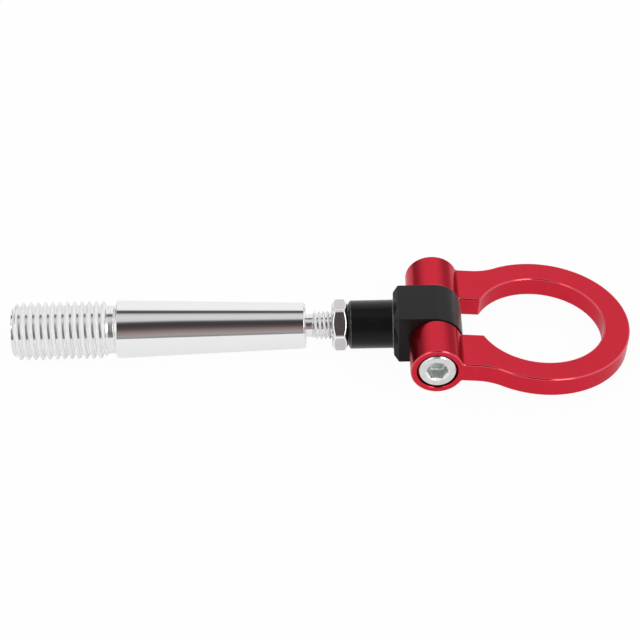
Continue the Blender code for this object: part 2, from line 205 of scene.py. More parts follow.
@settings
class KnuckleSettings(bpy.types.PropertyGroup):
    neck_diameter: length("Diameter of the round neck", 16.6)
    neck_length: length("From its end to the block", 15.3)
    neck_chamfer: length("Width at the neck's end", 0.7)
    neck_edge: length("How far the edges of the neck's end are eased", 0.12)
    neck_fillet: length("Where the neck meets the block", 0.6)
    block_chamfer: length("Round the face on the neck's side", 1.7)
    edge: length("Width of the rounded edges", 0.25)
    seat_diameter: length("Diameter of the face against the nut", 14.1)
    seat_rise: length("Height of the face against the nut", 0.25)
    stud_bore: length("Diameter of the hole for the stud", 10.4)
    bore_depth: length("Of the hole for the stud", 15.5)
    cross_bore: length("Diameter of the hole for the screw", 8.5)
    mouth: length("Chamfer at the holes", 0.5)
    metal: colour("Colour of the black finish", (0.003, 0.0026, 0.003))
    roughness: share("Of the black finish", 0.3)
    gloss: share("Specular level of the black finish", 0.16)
    sheen: share("Pale bloom of the black finish at a slant", 0.35)
    sheen_roughness: share("Of the pale bloom", 0.4)
    # These six entries set a painted highlight: a paler metal band on the neck's end edge and on its
    # fillet
    worn: colour("Colour of the neck's rubbed edges", (0.15, 0.15, 0.15))
    worn_metallic: share("How metal-like the rubbed edges look", 0.8)
    worn_roughness: share("Of the rubbed edges", 0.3)
    worn_width: length("Of the rubbed edge at the neck's end", 0.16)
    worn_from: share("Share of the fillet that lies past its rubbed start", 0.8)
    worn_to: share("Share of the fillet that lies past its rubbed end", 0.1)


@settings
class RingSettings(bpy.types.PropertyGroup):
    inner_diameter: length("Of the eye", 44.0)
    reach: length("From the hinge to the eye's middle", 36.2)
    thickness: length("Of the flat ring", 7.1)
    ears_width: length("Across both ears", 50.6)
    ear_diameter: length("Of the round ears", 18.1)
    ear_fillet: length("Radius where an ear meets its arm", 1.0)
    arm_fillet: length("Radius where an arm meets the ring", 18.0)
    gap: length("Between the ears", 18.7)
    edge: length("Width of the rounded edges", 0.45)
    screw_bore: length("Diameter of the ears' hole", 8.5)
    counterbore: length("Diameter of the screw head's seat", 14.0)
    counterbore_floor: length("From the middle of the hinge", 17.0)
    mouth: length("Chamfer at the far ear's hole", 0.5)
    metal: colour("Colour of the red finish", (0.67, 0.011, 0.034))
    slant: colour("Tint of the red finish seen at a slant", (0.85, 0.5, 0.55))
    coat: share("Of the clear sealed layer", 0.35)
    roughness: share("Of the red finish", 0.28)
    # The edges' red is paler and pinker than the broad faces, a painted highlight; their glossier
    # clear layer is their own finish
    edge_painted_highlight: colour("Colour of the rounded edges", (0.8, 0.06, 0.09))
    edge_coat: share("Of the clear layer on the rounded edges", 1.0)
    edge_roughness: share("Of the rounded edges", 0.15)


@settings
class ScrewSettings(bpy.types.PropertyGroup):
    diameter: length("Across the screw's crests", 7.9)
    pitch: length("From one crest to the next", 1.25)
    threaded: length("From the tip", 20.0)
    head_diameter: length("Of the round head", 12.9)
    head_height: length("From its seat to its top", 8.0)
    head_chamfer: length("Round the top of the head", 0.5)
    tip_chamfer: length("Width at the screw's tip", 0.8)
    tip_depth: length("From the far ear's face to the tip", 1.2)
    socket: length("Across the flats of the hexagon socket", 6.5)
    socket_depth: length("To the ends of its flats", 4.9)
    socket_corner: length("Width of the slant round the socket's floor", 0.4)
    socket_point: length("Of the drilled cone under it", 0.3)
    socket_mouth: length("Diameter of the countersink", 8.1)
    # The socket's colour is darker than the plating, painted shade in the recess; its duller finish
    # is the screw's own
    socket_painted_shade: colour("Colour inside the socket", (0.67, 0.71, 0.68))
    socket_metallic: share("How metal-like its inside looks", 0.8)
    socket_roughness: share("Of its inside", 0.5)
    # The next three entries set a painted highlight on the socket's slants
    bright: colour("Colour of the socket's slants", (0.97, 0.97, 0.97))
    bright_metallic: share("How metal-like its slants look", 0.4)
    bright_roughness: share("Of its slants", 0.5)
    edge: length("How far the edges are eased", 0.1)
    columns: count("Faces round the screw", ROUND_COLUMNS)
    flank_rows: count("Faces down each flank of the thread", 3)
    metal: colour("Colour of the plating", (0.77, 0.775, 0.775))
    roughness: share("Of the plating", 0.24)


@settings
class StudioSettings(bpy.types.PropertyGroup):
    elevation: angle("Of the camera above the floor", 40.2125)
    azimuth: angle("Of the camera round the hook", 0.72657)
    roll: angle("Of the camera about its own axis", -1.62965)
    distance: length("From the camera to its aim", 728.238)
    aim_back: length("From the hinge back along the shank", 39.1607)
    aim_up: length("Of the aim up the picture", 1.78805)
    lens: (FloatProperty, "Focal length", {"default": 119.33, "unit": "CAMERA"})
    clip_start: length("Nearest distance that the camera sees", 10)
    floor_size: length("Width of the floor", 4000)
    floor: colour("Colour of the floor", (0.9, 0.9, 0.9))
    floor_roughness: share("Of the floor", 0.9)
    floor_seen: share("How white the camera sees the floor", 0.96)
    floor_mirrored: share("How white reflections show the floor", 0.6)


class TowHookSettings(bpy.types.PropertyGroup):
    shaft: PointerProperty(type=ShaftSettings)
    nut: PointerProperty(type=NutSettings)
    knuckle: PointerProperty(type=KnuckleSettings)
    ring: PointerProperty(type=RingSettings)
    screw: PointerProperty(type=ScrewSettings)
    studio: PointerProperty(type=StudioSettings)


def add_object(name, mesh):
    made = bpy.data.objects.new(name, mesh)
    bpy.context.scene.collection.objects.link(made)
    return made


def as_mesh(name, shape, place=Matrix.Identity(4)):
    """The shape as a mesh, moved to its place. The shape is freed."""
    mesh = bpy.data.meshes.new(name)
    shape.to_mesh(mesh)
    shape.free()
    mesh.transform(place)
    return mesh


def evaluated_mesh(source):
    """The source with its modifiers, as a plain mesh."""
    bpy.context.view_layer.update()
    graph = bpy.context.evaluated_depsgraph_get()
    return bpy.data.meshes.new_from_object(source.evaluated_get(graph))


def apply_modifiers(part):
    mesh = evaluated_mesh(part)
    part.modifiers.clear()
    part.data = mesh


def eased(outline, ease):
    """The outline with each inner corner rounded, starting that far from it."""
    points = [outline[0]]
    for before, here, after in zip(outline, outline[1:], outline[2:]):
        back = Vector(before) - Vector(here)
        on = Vector(after) - Vector(here)
        if min(back.length, on.length) < 2 * ease:
            points.append(here)
            continue
        for step in range(CORNER_STEPS + 1):
            t = step / CORNER_STEPS
            bend = back.normalized() * ease * (1 - t) ** 2 + on.normalized() * ease * t**2
            points.append(tuple(Vector(here) + bend))
    points.append(outline[-1])
    return points


def even_angles(columns):
    return [math.tau * i / columns for i in range(columns)]


def turned(outline_at, angles, closed=False):
    """A mesh turned about X. At each angle, from the top towards -Y, outline_at gives
    its (along X, radius) points. A closed outline makes a tube wall."""
    shape = bmesh.new()
    columns = [
        [
            shape.verts.new((x, -radius * math.sin(a), radius * math.cos(a)))
            for x, radius in outline_at(a)
        ]
        for a in angles
    ]
    for column, following in zip(columns, columns[1:] + columns[:1]):
        rows = len(column) if closed else len(column) - 1
        for row in range(rows):
            above = (row + 1) % len(column)
            shape.faces.new((column[row], column[above], following[above], following[row]))
    return shape


def merged(shapes):
    """One closed mesh from shapes and meshes that share their end rings."""
    whole = bmesh.new()
    for shape in shapes:
        part = as_mesh("part", shape) if isinstance(shape, bmesh.types.BMesh) else shape
        whole.from_mesh(part)
        bpy.data.meshes.remove(part)
    bmesh.ops.remove_doubles(whole, verts=whole.verts, dist=WELD)
    bmesh.ops.dissolve_degenerate(whole, edges=whole.edges, dist=WELD)
    bmesh.ops.recalc_face_normals(whole, faces=whole.faces)
    return whole


def dress(made, *materials):
    for material in materials:
        made.data.materials.append(material)


def as_object(name, shape, materials, place=Matrix.Identity(4)):
    """A finished piece, whose place goes into its mesh."""
    made = add_object(name, as_mesh(name, shape, place))
    dress(made, *materials)
    finish_shading(made)
    return made


def finish_shading(made):
    """Smooth shading that breaks at sharp edges and keeps large faces flat."""
    made.data.shade_smooth()
    made.data.set_sharp_from_angle(angle=BROKEN_PAST)
    weighted = made.modifiers.new("normals", "WEIGHTED_NORMAL")
    weighted.keep_sharp = True
    apply_modifiers(made)
    made.data.name = made.name


def prism(name, outline, half_thickness, place=Matrix.Identity(4)):
    """An outline in the XY plane made a plate, with half its thickness on each side."""
    shape = bmesh.new()
    face = shape.faces.new([shape.verts.new((x, y, -half_thickness)) for x, y in outline])
    grown = bmesh.ops.extrude_face_region(shape, geom=[face])["geom"]
    top = [item for item in grown if isinstance(item, bmesh.types.BMVert)]
    bmesh.ops.translate(shape, verts=top, vec=(0, 0, 2 * half_thickness))
    bmesh.ops.recalc_face_normals(shape, faces=shape.faces)
    return add_object(name, as_mesh(name, shape, place))


def turned_object(name, outline, columns, place=Matrix.Identity(4)):
    """A closed turned solid, whose outline starts and ends on the axis."""
    shape = merged([turned(lambda a: outline, even_angles(columns))])
    return add_object(name, as_mesh(name, shape, place))


def combine(part, tool, operation):
    """Cuts the part with the tool, or joins them, and removes the tool."""
    modifier = part.modifiers.new(operation, "BOOLEAN")
    modifier.operation = operation
    modifier.object = tool
    modifier.solver = "EXACT"
    apply_modifiers(part)
    bpy.data.objects.remove(tool, do_unlink=True)


def bore(part, outline, columns, place=Matrix.Identity(4)):
    """Cuts a turned hole into the part."""
    combine(part, turned_object("bore", outline, columns, place), "DIFFERENCE")


def flared(x, radius, mouth):
    """The start of a hole's outline, with a chamfered mouth in a face that looks to -X."""
    return [(x - CUT_PAST, 0), (x - CUT_PAST, radius + mouth + CUT_PAST), (x + mouth, radius)]


def round_edges(part, width):
    """Rounds the part's sharp edges, whose faces take its second material, if it has one."""
    modifier = part.modifiers.new("edges", "BEVEL")
    modifier.material = 1
    modifier.width = width
    modifier.segments = EDGE_SEGMENTS
    modifier.limit_method = "ANGLE"
    modifier.angle_limit = ROUNDED_PAST
    apply_modifiers(part)


def arc(centre, radius, start, end, step):
    """Points on an arc from one angle to another, both ends included."""
    steps = max(1, math.ceil(abs(end - start) / step))
    turns = [start + (end - start) * i / steps for i in range(steps + 1)]
    return [(centre[0] + radius * math.cos(t), centre[1] + radius * math.sin(t)) for t in turns]


def mirrored(points):
    """The points reflected in the X axis, in the opposite order."""
    return [(x, -y) for x, y in reversed(points)]


class Maths:
    """Adds nodes to a tree, with sockets or plain numbers as their inputs."""

    def __init__(self, tree):
        self.tree = tree

    def node(self, kind, *values, **settings):
        """A new node with these settings, and these values at its first inputs."""
        made = self.tree.nodes.new(kind)
        for name, setting in settings.items():
            setattr(made, name, setting)
        for socket, value in zip(made.inputs, values):
            self.feed(socket, value)
        return made

    def feed(self, socket, value):
        if isinstance(value, bpy.types.NodeSocket):
            self.tree.links.new(value, socket)
        else:
            socket.default_value = value

    def calc(self, operation, *values):
        return self.node("ShaderNodeMath", *values, operation=operation).outputs[0]

    def plus(self, first, second):
        return self.calc("ADD", first, second)

    def minus(self, first, second):
        return self.calc("SUBTRACT", first, second)

    def times(self, first, second):
        return self.calc("MULTIPLY", first, second)

    def over(self, first, second):
        return self.calc("DIVIDE", first, second)

    def whole(self, value):
        return self.node("FunctionNodeFloatToInt", value, rounding_mode="ROUND").outputs[0]

    def spread(self, value, low, high, to_low, to_high, clamp=True):
        """The value's place between low and high, as a place between the other two."""
        line = (value, low, high, to_low, to_high)
        return self.node("ShaderNodeMapRange", *line, clamp=clamp).outputs[0]

    def blend(self, share, first, second):
        """The first colour where the share is 0, the second where it is 1."""
        made = self.node("ShaderNodeMix", share, data_type="RGBA")
        colours = [socket for socket in made.inputs if socket.type == "RGBA"]
        for socket, given in zip(colours, (first, second)):
            self.feed(socket, given)
        return [socket for socket in made.outputs if socket.type == "RGBA"][0]

    def mix_surface(self, output, share, first, second):
        """Feeds the first shader to the output where the share is 0, the second at 1."""
        made = self.node("ShaderNodeMixShader", share, first, second)
        self.feed(self.tree.nodes[output].inputs["Surface"], made.outputs[0])


class Finish(Maths):
    """A material with a Principled BSDF, whose plain numbers are on its own sockets."""

    def __init__(self, name, base, metallic, roughness):
        self.material = bpy.data.materials.new(name)
        self.material.use_nodes = True
        super().__init__(self.material.node_tree)
        self.shader = self.tree.nodes["Principled BSDF"]
        self.inputs = self.shader.inputs
        self.base = base
        self.roughness = roughness
        self.inputs["Base Color"].default_value = (*base, 1)
        self.inputs["Metallic"].default_value = metallic
        self.inputs["Roughness"].default_value = roughness

    def noise(self, scale, detail, stretch=(1, 1, 1)):
        """Noise in object space, finer along the axes with the larger stretch."""
        mapping = self.node("ShaderNodeMapping", self.node("ShaderNodeTexCoord").outputs["Object"])
        mapping.inputs["Scale"].default_value = stretch
        made = self.node("ShaderNodeTexNoise", mapping.outputs[0])
        made.inputs["Scale"].default_value = scale
        made.inputs["Detail"].default_value = detail
        return made.outputs[0]

    def vary_roughness(self, marks, least, most, low=0.3, high=0.7):
        """From one share of the plain roughness to the other, as the marks get strong."""
        ends = (self.roughness * least, self.roughness * most)
        self.feed(self.inputs["Roughness"], self.spread(marks, low, high, *ends))

    def vary_colour(self, marks, dark, low=0.3, high=0.7):
        """The base colour, darkened to a share of itself where the marks are weak."""
        strong = self.spread(marks, low, high, 0, 1)
        darkened = (*[part * dark for part in self.base], 1)
        self.feed(self.inputs["Base Color"], self.blend(strong, darkened, (*self.base, 1)))

    def raise_marks(self, marks, height):
        """Bumps up to a height where the marks are strong."""
        made = self.node("ShaderNodeBump")
        made.inputs["Distance"].default_value = height
        self.feed(made.inputs["Height"], marks)
        self.feed(self.inputs["Normal"], made.outputs[0])


THREAD_LENGTHS = (
    "Crest Radius",
    "Pitch",
    "Crest Place",
    "Start",
    "End",
    "Rise Start",
    "Rise End",
    "Rise Radius",
    "Fall Start",
    "Fall Radius",
)
THREAD_COUNTS = ("Flank Rows", "Columns")


def thread_tree():
    """A right-hand thread about X: a sheet whose rows follow the helix is rolled up, and
    each point's radius comes from how far it lies from the nearest crest. The crests
    rise near the start and fall away at the end, and both ends are plain circles."""
    tree = bpy.data.node_groups.new("screw_thread", "GeometryNodeTree")
    kinds = {name: "NodeSocketFloat" for name in THREAD_LENGTHS}
    kinds |= {name: "NodeSocketInt" for name in THREAD_COUNTS}
    kinds["Material"] = "NodeSocketMaterial"
    for name, kind in kinds.items():
        tree.interface.new_socket(name, in_out="INPUT", socket_type=kind)
    tree.interface.new_socket("Mesh", in_out="OUTPUT", socket_type="NodeSocketGeometry")
    m = Maths(tree)
    given = m.node("NodeGroupInput").outputs
    pitch = given["Pitch"]
    crest_radius = given["Crest Radius"]
    crest_place = given["Crest Place"]
    start = given["Start"]
    end = given["End"]
    root_radius = m.minus(crest_radius, m.times(pitch, THREAD_DEPTH))
    half_crest = CREST_WIDTH / 2
    half_ridge = half_crest + THREAD_DEPTH * FLANK_SLOPE

    # Rows from the middle of one root to the middle of the next, and turns from end to end
    half_rows = m.plus(given["Flank Rows"], 2)
    turn_rows = m.times(half_rows, 2)
    turns = m.plus(m.calc("CEIL", m.over(m.minus(end, start), pitch)), 3)
    rows = m.times(turns, turn_rows)
    lines_along = m.whole(m.plus(rows, 1))
    lines_round = m.whole(m.plus(given["Columns"], 1))
    grid = m.node("GeometryNodeMeshGrid", rows, 1.0, lines_along, lines_round)

    # Each row's place along the helix in pitches, close together where the form bends
    flat = m.node("ShaderNodeSeparateXYZ", m.node("GeometryNodeInputPosition").outputs[0])
    row = m.calc("ROUND", m.plus(flat.outputs[0], m.over(rows, 2)))
    turned_share = m.plus(flat.outputs[1], 0.5)
    turn = m.calc("FLOOR", m.over(row, turn_rows))
    from_crest = m.minus(m.minus(row, m.times(turn, turn_rows)), half_rows)
    steps = m.calc("ABSOLUTE", from_crest)
    flank_end = m.plus(given["Flank Rows"], 1)
    on_crest = m.spread(steps, 0, 1, 0, half_crest)
    on_flank = m.spread(steps, 1, flank_end, 0, half_ridge - half_crest)
    on_root = m.spread(steps, flank_end, half_rows, 0, 0.5 - half_ridge)
    away = m.plus(m.plus(on_crest, on_flank), on_root)
    along = m.plus(turn, m.times(m.calc("SIGN", from_crest), away))

    # The first crest lies at least a turn before the start
    turns_back = m.calc("CEIL", m.over(m.minus(crest_place, start), pitch))
    first = m.minus(crest_place, m.times(m.plus(turns_back, 1), pitch))
    helix = m.plus(first, m.times(m.plus(along, turned_share), pitch))
    x = m.calc("MINIMUM", m.calc("MAXIMUM", helix, start), end)

    pitches = m.minus(m.over(m.minus(x, crest_place), pitch), turned_share)
    off_crest = m.calc("ABSOLUTE", m.minus(pitches, m.calc("ROUND", pitches)))
    flank_line = (half_crest, half_ridge, crest_radius, root_radius)
    flank = m.spread(off_crest, *flank_line, clamp=False)
    ridge = m.calc("MINIMUM", flank, crest_radius)
    ridge = m.calc("SMOOTH_MAX", ridge, root_radius, m.times(pitch, ROOT_ROUNDING))
    rise_line = (given["Rise Start"], given["Rise End"], given["Rise Radius"], crest_radius)
    fall_line = (given["Fall Start"], end, crest_radius, given["Fall Radius"])
    radius = m.calc("MINIMUM", ridge, m.spread(x, *rise_line))
    radius = m.calc("MINIMUM", radius, m.spread(x, *fall_line))

    turned_by = m.times(turned_share, math.tau)
    y = m.times(m.times(radius, m.calc("SINE", turned_by)), -1)
    z = m.times(radius, m.calc("COSINE", turned_by))
    rolled = m.node("GeometryNodeSetPosition", grid.outputs["Mesh"])
    m.feed(rolled.inputs["Position"], m.node("ShaderNodeCombineXYZ", x, y, z).outputs[0])
    welded = m.node("GeometryNodeMergeByDistance", rolled.outputs[0])
    m.feed(welded.inputs["Distance"], WELD)
    real = m.node("GeometryNodeRealizeInstances", welded.outputs[0])
    dressed = m.node("GeometryNodeSetMaterial", real.outputs[0])
    m.feed(dressed.inputs["Material"], given["Material"])
    m.node("NodeGroupOutput", dressed.outputs[0])
    return tree


def thread(lengths, sizes, material):
    """The thread's wall as a plain mesh, from the tree's named inputs."""
    tree = bpy.data.node_groups.get("screw_thread") or thread_tree()
    carrier = add_object("thread", bpy.data.meshes.new("thread"))
    modifier = carrier.modifiers.new("thread", "NODES")
    modifier.node_group = tree
    inputs = [item for item in tree.interface.items_tree if item.in_out == "INPUT"]
    sockets = {item.name: item.identifier for item in inputs}
    counts = {"Columns": sizes.columns, "Flank Rows": sizes.flank_rows}
    for name, value in (lengths | counts | {"Material": material}).items():
        modifier[sockets[name]] = value
    mesh = evaluated_mesh(carrier)
    bpy.data.objects.remove(carrier, do_unlink=True)
    return mesh


def polished_aluminium(sizes):
    """Bright turned aluminium: faint marks round the bar, and cloudy smears."""
    finish = Finish("polished_aluminium", sizes.metal, 1.0, sizes.polish)
    finish.vary_roughness(finish.noise(scale=90, detail=2), least=0.8, most=1.5, low=0.35, high=0.75)
    finish.raise_marks(finish.noise(scale=60, detail=3, stretch=(40, 1, 1)), height=0.0006 * MM)
    return finish.material


def cut_aluminium(name, metal, metallic, roughness):
    """The same metal where a tool cut the threads; the flanks pass a paler colour, a painted
    highlight.
    """
    finish = Finish(name, metal, metallic, roughness)
    marks = finish.noise(scale=400, detail=3, stretch=(8, 1, 1))
    finish.vary_roughness(marks, least=0.8, most=1.4)
    finish.vary_colour(marks, dark=0.9, high=0.6)
    return finish.material


def satin_steel(sizes):
    """Stainless steel with a fine satin grain."""
    finish = Finish("satin_steel", sizes.metal, 1.0, sizes.roughness)
    grain = finish.noise(scale=900, detail=2, stretch=(1, 6, 6))
    finish.vary_roughness(grain, least=0.85, most=1.2)
    finish.raise_marks(grain, height=0.003 * MM)
    return finish.material


def bright_steel(sizes):
    """A paler steel on the nut's edges and corners: a painted highlight."""
    finish = Finish("bright_steel", sizes.bright, 1.0, sizes.bright_roughness)
    finish.vary_roughness(finish.noise(scale=700, detail=2, stretch=(6, 1, 1)), least=0.8, most=1.3)
    return finish.material


def black_finish(sizes):
    """Black anodised aluminium with a fine even grain."""
    finish = Finish("black_anodised", sizes.metal, 0.0, sizes.roughness)
    grain = finish.noise(scale=2600, detail=2)
    finish.vary_roughness(finish.noise(scale=160, detail=2), least=0.9, most=1.15)
    finish.vary_colour(grain, dark=0.7, low=0.35, high=0.65)
    finish.raise_marks(grain, height=0.01 * MM)
    finish.inputs["Specular IOR Level"].default_value = sizes.gloss
    finish.inputs["Sheen Weight"].default_value = sizes.sheen
    finish.inputs["Sheen Roughness"].default_value = sizes.sheen_roughness
    return finish.material


def painted_highlight_edge(sizes):
    """A paler metal band on the neck's end edge and on its fillet: a painted highlight."""
    finish = Finish("rubbed_black", sizes.worn, sizes.worn_metallic, sizes.worn_roughness)
    finish.vary_colour(finish.noise(scale=500, detail=2), dark=0.5, low=0.35, high=0.6)
    return finish.material


def red_finish(name, sizes, metal, coat, roughness):
    """Red anodised aluminium: a tinted metal with a fine satin grain, under a clear
    layer that is half as rough."""
    finish = Finish(name, metal, 1.0, roughness)
    grain = finish.noise(scale=2200, detail=2)
    finish.vary_roughness(finish.noise(scale=120, detail=2), least=0.9, most=1.15)
    finish.vary_colour(grain, dark=0.88)
    finish.raise_marks(grain, height=0.006 * MM)
    finish.inputs["Specular Tint"].default_value = (*sizes.slant, 1)
    finish.inputs["Coat Weight"].default_value = coat
    finish.inputs["Coat Roughness"].default_value = roughness / 2
    return finish.material


def plated_steel(sizes):
    """Zinc plated steel, slightly cloudy."""
    finish = Finish("plated_steel", sizes.metal, 1.0, sizes.roughness)
    cloud = finish.noise(scale=700, detail=3)
    finish.vary_roughness(cloud, least=0.8, most=1.25)
    finish.vary_colour(cloud, dark=0.88, high=0.65)
    return finish.material


def socket_steel(sizes):
    """The broached inside of the socket: dull, and darker as painted shade in the recess."""
    look = (sizes.socket_painted_shade, sizes.socket_metallic, sizes.socket_roughness)
    finish = Finish("socket_steel", *look)
    finish.vary_colour(finish.noise(scale=900, detail=2, stretch=(1, 0.2, 1)), dark=0.93)
    return finish.material


def broached_steel(sizes):
    """The slants at the socket's mouth and round its floor, paler as a painted highlight."""
    look = (sizes.bright, sizes.bright_metallic, sizes.bright_roughness)
    return Finish("broached_steel", *look).material


def make_shaft(tow_hook):
    s = tow_hook.shaft
    polished = polished_aluminium(s)
    cut = cut_aluminium("thread_roots", s.metal, 1.0, s.cut)
    # The flanks' finish has a paler colour than the metal: a painted highlight
    flank = cut_aluminium("thread_flanks", s.flank_painted_highlight, s.flank_metallic, s.flank)
    crest = s.thread_diameter / 2
    tip = s.thread_tip / 2
    relief = s.relief_diameter / 2
    big = s.taper_big / 2
    small = s.taper_small / 2
    undercut = s.undercut_diameter / 2
    stud = s.stud_diameter / 2
    stud_tip = stud - s.stud_chamfer
    taper_end = SHOULDER_X + s.taper_length
    rise = taper_end + s.undercut_length
    stud_end = SHAFT_HIGH.x
    coarse_thread = {
        "Crest Radius": crest,
        "Pitch": s.thread_pitch,
        "Crest Place": s.thread_crest,
        "Start": 0.0,
        "End": s.thread_length,
        "Rise Start": 0.0,
        "Rise End": crest - tip,
        "Rise Radius": tip,
        "Fall Start": s.thread_length - s.run_out,
        "Fall Radius": relief,
    }
    stud_thread = {
        "Crest Radius": stud,
        "Pitch": s.stud_pitch,
        "Crest Place": taper_end + s.stud_crest,
        "Start": taper_end,
        "End": stud_end,
        "Rise Start": rise,
        "Rise End": rise + s.undercut_slope,
        "Rise Radius": undercut,
        "Fall Start": stud_end - s.stud_chamfer,
        "Fall Radius": stud_tip,
    }
    slope = (big - small) / s.taper_length
    fillet = s.relief_fillet
    bottom = relief - s.relief_sink
    corner = (SHOULDER_X - fillet, bottom + fillet)
    middle = [
        (s.thread_length, relief),
        (s.thread_length + fillet, bottom),
        *arc(corner, fillet, -QUARTER, 0, RELIEF_STEP),
        (SHOULDER_X, big - s.shoulder_chamfer),
        (SHOULDER_X + s.shoulder_chamfer, big - s.shoulder_chamfer * slope),
        (taper_end - s.small_chamfer, small + s.small_chamfer * slope),
        (taper_end, small - s.small_chamfer),
        (taper_end, undercut),
    ]
    middle = eased(middle, s.edge)
    angles = even_angles(s.columns)
    walls = [
        turned(lambda a: [(0, 0), (0, tip)], angles),
        thread(coarse_thread, s, cut),
        turned(lambda a: middle, angles),
        thread(stud_thread, s, cut),
        turned(lambda a: [(stud_end, stud_tip), (stud_end, 0)], angles),
    ]
    shape = merged(walls)
    coarse_root = crest - THREAD_DEPTH * s.thread_pitch
    stud_root = stud - THREAD_DEPTH * s.stud_pitch
    # Flank faces take the paler flank finish, a painted highlight
    for face in shape.faces:
        centre = face.calc_center_median()
        on_taper = SHOULDER_X - WELD < centre.x < taper_end + WELD
        on_coarse = crest - tip < centre.x < s.thread_length
        root = stud_root if centre.x > taper_end else coarse_root
        on_ridge = centre.yz.length > root + s.root_height
        on_flank = on_ridge and (on_coarse or centre.x > rise)
        on_end = abs(face.normal.x) > END_NORMAL
        face.material_index = 0 if on_taper else 2 if on_flank and not on_end else 1
    piece = as_object("turned_shaft", shape, [polished, cut, flank])
    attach(piece, "shank")
    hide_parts("tow_shaft")


class TOWHOOK_OT_shaft(bpy.types.Operator):
    """Make the turned shank with its two threads"""

    bl_idname = "towhook.shaft"
    bl_label = "Shaft"

    def execute(self, context):
        make_shaft(context.scene.tow_hook)
        return {"FINISHED"}


def make_nut(tow_hook):
    s = tow_hook.nut
    flat = s.across_flats / 2
    seat = s.face_diameter / 2
    hole = s.bore / 2
    half = SIXTH / 2
    centre = (flat - s.corner_radius) / math.cos(half)
    rounded = math.atan2(
        s.corner_radius * math.sin(half), centre + s.corner_radius * math.cos(half)
    )
    corner_turns = range(-s.corner_columns, s.corner_columns)
    turns = [rounded * i / s.corner_columns for i in corner_turns]
    facet = SIXTH - 2 * rounded
    turns += [rounded + facet * i / s.facet_columns for i in range(s.facet_columns)]
    angles = [s.corner_at + SIXTH * corner + turn for corner in range(6) for turn in turns]

    def off_corner(a):
        return abs((a - s.corner_at + half) % SIXTH - half)

    def outline_at(a):
        off = off_corner(a)
        radius = flat / math.cos(half - off)
        if off < rounded:
            across = centre * math.sin(off)
            radius = centre * math.cos(off) + math.sqrt(s.corner_radius**2 - across**2)
        left = [
            (NUT_LOW.x + s.mouth, hole),
            (NUT_LOW.x, hole + s.mouth),
            (NUT_LOW.x, seat),
            (NUT_LOW.x + (radius - seat) * math.tan(s.chamfer), radius),
        ]
        right = [(NUT_LOW.x + NUT_HIGH.x - x, r) for x, r in reversed(left)]
        return eased(left + right, s.edge)

    shape = merged([turned(outline_at, angles, closed=True)])
    # Eased edges and rounded corners take the paler steel, a painted highlight
    for face in shape.faces:
        middle = face.calc_center_median()
        on_facet = off_corner(math.atan2(-middle.y, middle.z)) > rounded
        lean = abs(face.normal.x)
        on_edge = math.sin(CLEAR_OF_FLAT) < lean < math.cos(s.chamfer + CLEAR_OF_FLAT)
        face.material_index = 1 if on_edge or not on_facet else 0
    piece = as_object("hexagon_nut", shape, [satin_steel(s), bright_steel(s)])
    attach(piece, "shank")
    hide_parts("lock_nut")


class TOWHOOK_OT_nut(bpy.types.Operator):
    """Make the lock nut with its chamfered hexagon"""

    bl_idname = "towhook.nut"
    bl_label = "Lock nut"

    def execute(self, context):
        make_nut(context.scene.tow_hook)
        return {"FINISHED"}


